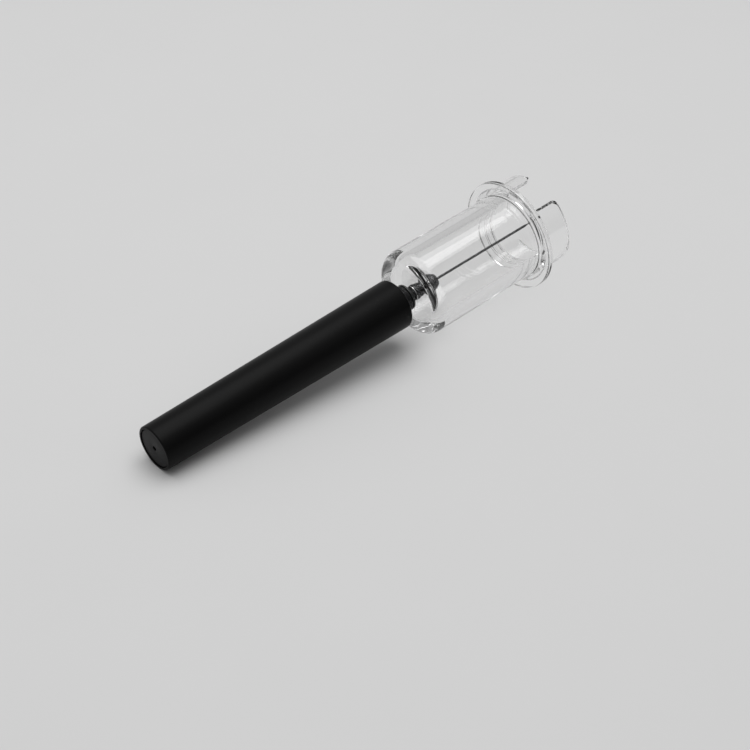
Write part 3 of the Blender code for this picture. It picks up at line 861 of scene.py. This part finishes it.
@dataclass(frozen=True)
class Handle:
    """The sliding handle: satin sleeve, end disc and the bush at its mouth.

    Args:
        lathe: The lathe that turns its pieces.
        finishes: The materials.
    """

    lathe: Lathe
    finishes: Finishes
    length: float = 139.2 * MM
    back_radius: float = 10.75 * MM
    front_radius: float = 12.25 * MM
    bore_radius: float = 9.4 * MM
    back_edge: float = 0.7 * MM
    front_edge: float = 1.0 * MM
    inner_edge: float = 0.15 * MM
    disc_radius: float = 9.1 * MM
    disc_inset: float = 0.35 * MM
    disc_thickness: float = 1.2 * MM
    disc_edge: float = 0.3 * MM
    disc_arc: int = 5
    hole_radius: float = 1.1 * MM
    hole_edge: float = 0.25 * MM
    bush_inset: float = 0.5 * MM
    bush_length: float = 10.7 * MM
    bush_edge: float = 0.5 * MM
    tube_hole_radius: float = 4.8 * MM
    pocket_radius: float = 6.9 * MM
    pocket_depth: float = 4.7 * MM

    def build(self) -> None:
        """Builds the handle's visible pieces."""
        self._sleeve()
        self._disc()
        self._bush()

    def _sleeve(self) -> None:
        """Turns the tapered satin sleeve."""
        corners = (
            Corner(self.front_radius, self.length, self.front_edge),
            Corner(self.back_radius, 0, self.back_edge),
            Corner(self.bore_radius, 0, self.inner_edge),
            Corner(self.bore_radius, self.length, self.inner_edge),
        )
        piece = self.lathe.turn("grip_sleeve", Outline(corners), Fineness.GRIP)
        fit(piece, self.finishes.grip, Body.HANDLE, "handle_sleeve")

    def _disc(self) -> None:
        """Turns the disc on the end, with its air hole."""
        front = self.disc_inset + self.disc_thickness
        corners = (
            Corner(self.disc_radius, front),
            Corner(self.disc_radius, self.disc_inset, self.disc_edge),
            Corner(self.hole_radius, self.disc_inset, self.hole_edge),
            Corner(self.hole_radius, front),
        )
        piece = self.lathe.turn("end_face_disc", Outline(corners, arc_steps=self.disc_arc), Fineness.GRIP)
        fit(piece, self.finishes.disc, Body.HANDLE, "end_disc")

    def _bush(self) -> None:
        """Turns the front of the guide bush in the handle's mouth."""
        front = self.length - self.bush_inset
        back = front - self.bush_length
        pocket_floor = front - self.pocket_depth
        corners = (
            Corner(self.disc_radius, front, self.bush_edge),
            Corner(self.disc_radius, back, self.bush_edge),
            Corner(self.tube_hole_radius, back, self.inner_edge),
            Corner(self.tube_hole_radius, pocket_floor, self.inner_edge),
            Corner(self.pocket_radius, pocket_floor, self.inner_edge),
            Corner(self.pocket_radius, front, self.inner_edge),
        )
        piece = self.lathe.turn("mouth_bush", Outline(corners, arc_steps=SMALL_ARC), Fineness.SMALL)
        fit(piece, self.finishes.black, Body.HANDLE, "front_bush")


@dataclass(frozen=True)
class Guard:
    """The clear guard: thick base, tube, flange with its resting flat, and three ears.

    Args:
        lathe: The lathe that turns it.
        finishes: The materials.
    """

    lathe: Lathe
    finishes: Finishes
    back: float = 146.4 * MM
    radius: float = 21.5 * MM
    bore_radius: float = 15.3 * MM
    length_to_flange_front: float = 68.6 * MM
    base_thickness: float = 6.8 * MM
    back_edge: float = 5.8 * MM
    floor_fillet: float = 2.0 * MM
    mouth_edge: float = 0.8 * MM
    spot_face_radius: float = 4.5 * MM
    spot_face_depth: float = 0.4 * MM
    hole_radius: float = 1.2 * MM
    flange_radius: float = 28.0 * MM
    flange_thickness: float = 2.9 * MM
    flange_edge: float = 0.6 * MM
    ear_radius: float = 24.0 * MM
    ear_bore_radius: float = 21.5 * MM
    ear_length: float = 15.5 * MM
    ear_edge: float = 0.7 * MM
    ear_root_height: float = 1.5 * MM
    slot_width: float = 16.4 * MM
    slot_floor_fillet: float = 1.5 * MM
    slot_mouth: float = 3.0 * MM
    wide_mouth: float = 7.0 * MM
    slot_degrees: tuple[float, float, float] = (-164.6, -46.0, 56.0)
    slot_arc: int = 10
    overrun: float = 3.0 * MM
    arc_steps: int = 20

    @property
    def flange_front(self) -> float:
        """Gives the station of the flange's front face."""
        return self.back + self.length_to_flange_front

    @property
    def ear_front(self) -> float:
        """Gives the station of the ears' tips."""
        return self.flange_front + self.ear_length

    def build(self) -> None:
        """Turns the guard, cuts its slots and its flat, and dresses it."""
        piece = self.lathe.turn("clear_guard", self._outline(), Fineness.GRIP)
        mouths = (self.slot_mouth, self.wide_mouth, self.slot_mouth)
        for degrees, mouth in zip(self.slot_degrees, mouths):
            cut(piece, self._slot_cutter(math.radians(degrees), mouth))
        cut(piece, self._floor_cutter())
        self.lathe.shade(piece.data)
        # The guard neither shades the floor nor lights it by bounces
        piece.visible_shadow = False
        piece.visible_diffuse = False
        fit(piece, self.finishes.clear, Body.GUARD, "guard")

    def _outline(self) -> Outline:
        """Draws the guard's turned outline.

        Returns:
            The outline.
        """
        floor = self.back + self.base_thickness
        spot_face = floor - self.spot_face_depth
        flange_front = self.flange_front
        flange_back = flange_front - self.flange_thickness
        return Outline(
            (
                Corner(self.ear_radius, self.ear_front, self.ear_edge),
                Corner(self.ear_radius, flange_front, self.ear_edge),
                Corner(self.flange_radius, flange_front, self.flange_edge),
                Corner(self.flange_radius, flange_back, self.flange_edge),
                Corner(self.radius, flange_back, self.flange_edge),
                Corner(self.radius, self.back, self.back_edge),
                Corner(self.hole_radius, self.back),
                Corner(self.hole_radius, spot_face),
                Corner(self.spot_face_radius, spot_face),
                Corner(self.spot_face_radius, floor),
                Corner(self.bore_radius, floor, self.floor_fillet),
                Corner(self.bore_radius, flange_front, self.mouth_edge),
                Corner(self.ear_bore_radius, flange_front, self.ear_edge),
                Corner(self.ear_bore_radius, self.ear_front, self.ear_edge),
            ),
            arc_steps=self.arc_steps,
        )

    def _slot_cutter(self, direction: float, mouth: float) -> Piece:
        """Makes the cutter of one slot: a rounded floor, straight sides and a flared mouth.

        Args:
            direction: The slot's direction about the axis, from straight down.
            mouth: The rounding of the ears beside the slot.

        Returns:
            The cutter.
        """
        half = self.slot_width / 2
        floor = self.flange_front + self.ear_root_height
        beyond = self.ear_front + self.overrun
        side = (
            Corner(half, floor, self.slot_floor_fillet),
            Corner(half, self.ear_front, mouth),
            Corner(half + 2 * mouth, self.ear_front),
            Corner(half + 2 * mouth, beyond),
        )
        mirrored = tuple(replace(corner, radius=-corner.radius) for corner in reversed(side))
        outline = Outline(side + mirrored, arc_steps=self.slot_arc)
        inner = self.ear_bore_radius / 2
        reach = self.ear_radius + self.overrun - inner
        shape = bmesh.new()
        corners = [shape.verts.new((inner, point.x, point.y)) for point in outline.points()]
        face = shape.faces.new(corners)
        swept = bmesh.ops.extrude_face_region(shape, geom=[face])
        moved = [item for item in swept["geom"] if isinstance(item, bmesh.types.BMVert)]
        bmesh.ops.translate(shape, verts=moved, vec=(reach, 0, 0))
        bmesh.ops.recalc_face_normals(shape, faces=shape.faces)
        bmesh.ops.rotate(shape, verts=shape.verts, matrix=Matrix.Rotation(direction, 3, "Z"))
        return self.lathe.piece("slot_cutter", shape)

    def _floor_cutter(self) -> Piece:
        """Makes the block under the floor that leaves the flange's resting flat.

        Returns:
            The block.
        """
        width = 2 * self.flange_radius
        shape = bmesh.new()
        bmesh.ops.create_cube(shape, size=width)
        middle = self.lathe.axis.start + self.lathe.axis.direction * self.flange_front
        bmesh.ops.translate(shape, verts=shape.verts, vec=(middle.x, 0, -width / 2))
        return self.lathe.solid("floor_cutter", shape)


@dataclass(frozen=True)
class NeedleUnit:
    """What carries the needle: pump tube, neck, washers, hub and the needle itself.

    Args:
        lathe: The lathe that turns its pieces.
        finishes: The materials.
    """

    lathe: Lathe
    finishes: Finishes
    tube_back: float = 20.45 * MM
    tube_front: float = 137.9 * MM
    tube_radius: float = 4.5 * MM
    tube_bore_radius: float = 3.2 * MM
    neck_back: float = 134.3 * MM
    neck_front: float = 144.8 * MM
    neck_radius: float = 6.6 * MM
    neck_edge: float = 0.9 * MM
    neck_arc: int = 6
    socket_radius: float = 4.8 * MM
    socket_floor: float = 139.5 * MM
    shank_hole_radius: float = 1.2 * MM
    neck_washer_radius: float = 6.4 * MM
    neck_washer_back: float = 145.1 * MM
    neck_washer_front: float = 146.1 * MM
    hub_washer_radius: float = 3.6 * MM
    hub_washer_back: float = 153.1 * MM
    hub_washer_front: float = 153.8 * MM
    hub_back: float = 141.0 * MM
    hub_flange_back: float = 154.1 * MM
    hub_flange_thickness: float = 1.6 * MM
    hub_flange_radius: float = 3.9 * MM
    hub_body_radius: float = 3.5 * MM
    hub_body_length: float = 2.2 * MM
    hub_cone_length: float = 5.0 * MM
    hub_nose_radius: float = 1.5 * MM
    hub_shank_radius: float = 0.9 * MM
    hub_airway_radius: float = 0.35 * MM
    needle_socket_depth: float = 7.0 * MM
    needle_radius: float = 0.6 * MM
    needle_bore_radius: float = 0.35 * MM
    needle_length: float = 70.0 * MM
    point_length: float = 4.0 * MM
    point_arc: int = 24
    vent_setback: float = 9.0 * MM
    vent_radius: float = 0.3 * MM
    drill_length: float = 2.4 * MM
    clearance: float = 0.3 * MM
    edge: float = 0.15 * MM

    @property
    def hub_front(self) -> float:
        """Gives the station of the hub's nose."""
        body_back = self.hub_flange_back + self.hub_flange_thickness
        return body_back + self.hub_body_length + self.hub_cone_length

    @property
    def needle_back(self) -> float:
        """Gives the station of the needle's back end, inside the hub."""
        return self.hub_front - self.needle_socket_depth + self.clearance

    def build(self) -> None:
        """Builds the needle unit's visible pieces."""
        self._tube()
        self._neck()
        self._washers()
        self._hub()
        self._needle()

    def _tube(self) -> None:
        """Turns the pump tube, which shows when the handle is drawn back."""
        outline = plain_ring(
            self.tube_bore_radius, self.tube_radius, self.tube_back, self.tube_front, self.edge
        )
        piece = self.lathe.turn("pump_rod_tube", outline, Fineness.SMALL)
        fit(piece, self.finishes.aluminium, Body.NEEDLE_UNIT, "pump_tube")

    def _neck(self) -> None:
        """Turns the black neck between the handle and the guard."""
        corners = (
            Corner(self.neck_radius, self.neck_front, self.neck_edge),
            Corner(self.neck_radius, self.neck_back, self.edge),
            Corner(self.socket_radius, self.neck_back, self.edge),
            Corner(self.socket_radius, self.socket_floor),
            Corner(self.shank_hole_radius, self.socket_floor),
            Corner(self.shank_hole_radius, self.neck_front, self.edge),
        )
        piece = self.lathe.turn("neck_collar", Outline(corners, arc_steps=self.neck_arc), Fineness.SMALL)
        fit(piece, self.finishes.black, Body.NEEDLE_UNIT, "neck")

    def _washers(self) -> None:
        """Turns the washers on which the guard turns."""
        rear = (self.neck_washer_radius, self.neck_washer_back, self.neck_washer_front)
        front = (self.hub_washer_radius, self.hub_washer_back, self.hub_washer_front)
        washers = (("rear_washer", "neck_washer", rear), ("front_washer", "hub_washer", front))
        for name, node, sizes in washers:
            outline = plain_ring(self.shank_hole_radius, *sizes, self.edge)
            piece = self.lathe.turn(name, outline, Fineness.SMALL)
            fit(piece, self.finishes.nylon, Body.NEEDLE_UNIT, node)

    def _hub(self) -> None:
        """Turns the steel hub: shank, flange, body and cone."""
        body_back = self.hub_flange_back + self.hub_flange_thickness
        cone_back = body_back + self.hub_body_length
        socket_floor = self.needle_back - self.clearance
        needle_hole = self.needle_radius + self.clearance
        corners = (
            Corner(self.hub_nose_radius, self.hub_front, self.edge),
            Corner(self.hub_body_radius, cone_back, self.clearance),
            Corner(self.hub_body_radius, body_back, self.clearance),
            Corner(self.hub_flange_radius, body_back, self.clearance),
            Corner(self.hub_flange_radius, self.hub_flange_back, self.clearance),
            Corner(self.hub_shank_radius, self.hub_flange_back),
            Corner(self.hub_shank_radius, self.hub_back, self.clearance),
            Corner(self.hub_airway_radius, self.hub_back),
            Corner(self.hub_airway_radius, socket_floor),
            Corner(needle_hole, socket_floor),
            Corner(needle_hole, self.hub_front, self.edge),
        )
        piece = self.lathe.turn("steel_hub", Outline(corners, arc_steps=SMALL_ARC), Fineness.SMALL)
        fit(piece, self.finishes.steel, Body.NEEDLE_UNIT, "needle_hub")

    def _needle(self) -> None:
        """Turns the hollow needle and drills its side vent."""
        front = self.needle_back + self.needle_length
        vent = front - self.vent_setback
        bore_end = (vent + front - self.point_length) / 2
        corners = (
            Corner(0, front),
            Corner(self.needle_radius, front - self.point_length, 2 * self.needle_radius),
            Corner(self.needle_radius, self.needle_back, self.edge),
            Corner(self.needle_bore_radius, self.needle_back),
            Corner(self.needle_bore_radius, bore_end),
            Corner(0, bore_end),
        )
        outline = Outline(corners, closed=False, arc_steps=self.point_arc)
        piece = self.lathe.turn("hollow_needle", outline, Fineness.WIRE)
        cut(piece, self._vent_drill(vent))
        self.lathe.shade(piece.data)
        fit(piece, self.finishes.needle, Body.NEEDLE_UNIT, "needle")

    def _vent_drill(self, station: float) -> Piece:
        """Makes the drill of the needle's side vent.

        Args:
            station: The vent's station.

        Returns:
            The drill.
        """
        shape = bmesh.new()
        sides, radius = Fineness.WIRE.value // 2, self.vent_radius
        bmesh.ops.create_cone(
            shape, cap_ends=True, segments=sides, radius1=radius, radius2=radius, depth=self.drill_length
        )
        bmesh.ops.rotate(shape, verts=shape.verts, matrix=Matrix.Rotation(FULL_TURN / 4, 3, "Y"))
        bmesh.ops.translate(shape, verts=shape.verts, vec=(0, 0, station))
        return self.lathe.piece("vent_drill", shape)


@dataclass(frozen=True)
class InnerWorks:
    """The hidden pump pieces, which keep their own solids and get their finishes.

    Args:
        nodes: The frame's nodes by name.
        finishes: The materials.
    """

    nodes: dict[str, Piece]
    finishes: Finishes

    def dress_all(self) -> None:
        """Gives each hidden node its finish."""
        rings = ("cap_ring", "wiper_ring", "bumper_ring", "piston_ring")
        looks = (
            (self.finishes.black, ("end_cap", "piston")),
            (self.finishes.rubber, (*rings, "intake_flap", "tube_seal")),
            (self.finishes.valve_steel, ("flap_cage", "valve_ball", "valve_spring")),
            (self.finishes.brass, ("valve_seat", "spring_stop")),
            (self.finishes.aluminium, ("barrel",)),
        )
        for material, names in looks:
            for name in names:
                dress(self.nodes[name], material)
                log.info("%s keeps its solid, in %s", name, material.name)


@dataclass(frozen=True)
class SoftLight:
    """A square soft light that shines on the middle of the opener.

    Args:
        name: The light's name.
        place: Where it stands.
        width: The length of its sides.
        power: Its power in watts.
    """

    name: str
    place: Place
    width: float
    power: float

    def build(self, target: Vector) -> None:
        """Hangs the light and turns it to its target.

        Args:
            target: The point that it shines on.
        """
        light = bpy.data.lights.new(self.name, "AREA")
        light.shape = "SQUARE"
        light.size = self.width
        light.energy = self.power
        lamp = stand(self.name, light)
        lamp.location = self.place
        lamp.rotation_euler = (target - lamp.location).to_track_quat("-Z", "Y").to_euler()


@dataclass(frozen=True)
class Studio:
    """The pale floor, the soft light and the camera at the photograph's angle.

    Args:
        axis: The opener's axis.
    """

    axis: OpenerAxis
    floor_width: float = 6.0
    floor_tone: Tone = (0.62, 0.62, 0.62)
    floor_light_share: float = 1.02
    floor_clouds: Grain = Grain(60 * MM)
    floor_roughness: float = 0.9
    floor_sheen: float = 0.2
    horizon_levels: Span = (0.04, 0.55)
    horizon_sides: Span = (-0.6, 0.7)
    horizon_heights: Span = (0.15, 0.75)
    zenith_level: float = 0.45
    look_at: Place = (-0.0219, -0.0369, 0.0242)
    azimuth_degrees: float = -41.46
    elevation_degrees: float = 37.48
    distance: float = 0.788
    lens: float = 86.4
    sensor: float = 36.0
    bounces: int = 14
    near_share: float = 0.01
    softbox: SoftLight = SoftLight("key_softbox", place=(0.1, 0.15, 1.6), width=1.6, power=21.2)

    def build(self) -> None:
        """Builds the studio."""
        self._floor()
        self._sky()
        self.softbox.build(Vector((0, 0, 0)))
        self._camera()
        self._picture()

    def _floor(self) -> None:
        """Lays the plain pale floor."""
        shape = bmesh.new()
        bmesh.ops.create_grid(shape, x_segments=1, y_segments=1, size=self.floor_width / 2)
        floor = stand("studio_floor", mesh_of("studio_floor", shape))
        bench = NodeBench("pale_floor", self.axis)
        place = bench.place()
        lighter = tuple(value * self.floor_light_share for value in self.floor_tone)
        bench.tint(bench.noise(place, self.floor_clouds), self.floor_tone, lighter)
        fill(bench.shader, Roughness=self.floor_roughness, Specular_IOR_Level=self.floor_sheen)
        dress(floor, bench.material)

    def _sky(self) -> None:
        """Sets the soft light from all round, which is brighter low down on the +Y side."""
        world = bpy.data.worlds.new("studio_sky")
        world.use_nodes = True
        nodes, links = world.node_tree.nodes, world.node_tree.links
        background = nodes["Background"]
        fill(background, Color=(1, 1, 1, 1))
        direction = nodes.new("ShaderNodeTexCoord")
        split = nodes.new("ShaderNodeSeparateXYZ")
        horizon, rise = (nodes.new("ShaderNodeMapRange") for _ in range(2))
        spans = ((horizon, self.horizon_sides), (rise, self.horizon_heights))
        for fade, (start, end) in spans:
            fade.interpolation_type = "SMOOTHSTEP"
            fill(fade, From_Min=start, From_Max=end)
        dim, bright = self.horizon_levels
        fill(horizon, To_Min=dim, To_Max=bright)
        fill(rise, To_Max=self.zenith_level)
        links.new(direction.outputs["Generated"], split.inputs[0])
        links.new(split.outputs["Y"], horizon.inputs["Value"])
        links.new(split.outputs["Z"], rise.inputs["Value"])
        links.new(horizon.outputs["Result"], rise.inputs["To Min"])
        links.new(rise.outputs["Result"], background.inputs["Strength"])
        bpy.context.scene.world = world

    def _camera(self) -> None:
        """Places the camera, which looks down on the opener from behind its handle."""
        azimuth = math.radians(self.azimuth_degrees)
        elevation = math.radians(self.elevation_degrees)
        level = math.cos(elevation)
        ahead = Vector((-math.sin(azimuth) * level, math.cos(azimuth) * level, -math.sin(elevation)))
        data = bpy.data.cameras.new("studio_camera")
        data.lens = self.lens
        data.sensor_width = self.sensor
        data.clip_start = self.distance * self.near_share
        camera = stand("studio_camera", data)
        camera.location = Vector(self.look_at) - ahead * self.distance
        camera.rotation_euler = ahead.to_track_quat("-Z", "Y").to_euler()
        bpy.context.scene.camera = camera

    def _picture(self) -> None:
        """Sets the picture's tones, and enough bounces for light to leave the thick clear guard."""
        scene = bpy.context.scene
        scene.view_settings.view_transform = "Standard"
        scene.cycles.max_bounces = self.bounces
        scene.cycles.transmission_bounces = self.bounces
        scene.cycles.glossy_bounces = self.bounces


def main() -> None:
    """Builds the opener's pieces in order, then the studio."""
    logging.basicConfig(level=logging.INFO, format="%(name)s: %(message)s")
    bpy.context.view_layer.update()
    axis = OpenerAxis.from_joints(frame["joints"], Guard.back)
    lathe = Lathe(axis)
    finishes = Finishes(axis)
    InnerWorks(frame["nodes"], finishes).dress_all()
    Handle(lathe, finishes).build()
    NeedleUnit(lathe, finishes).build()
    Guard(lathe, finishes).build()
    Studio(axis).build()


if __name__ == "__main__":
    main()
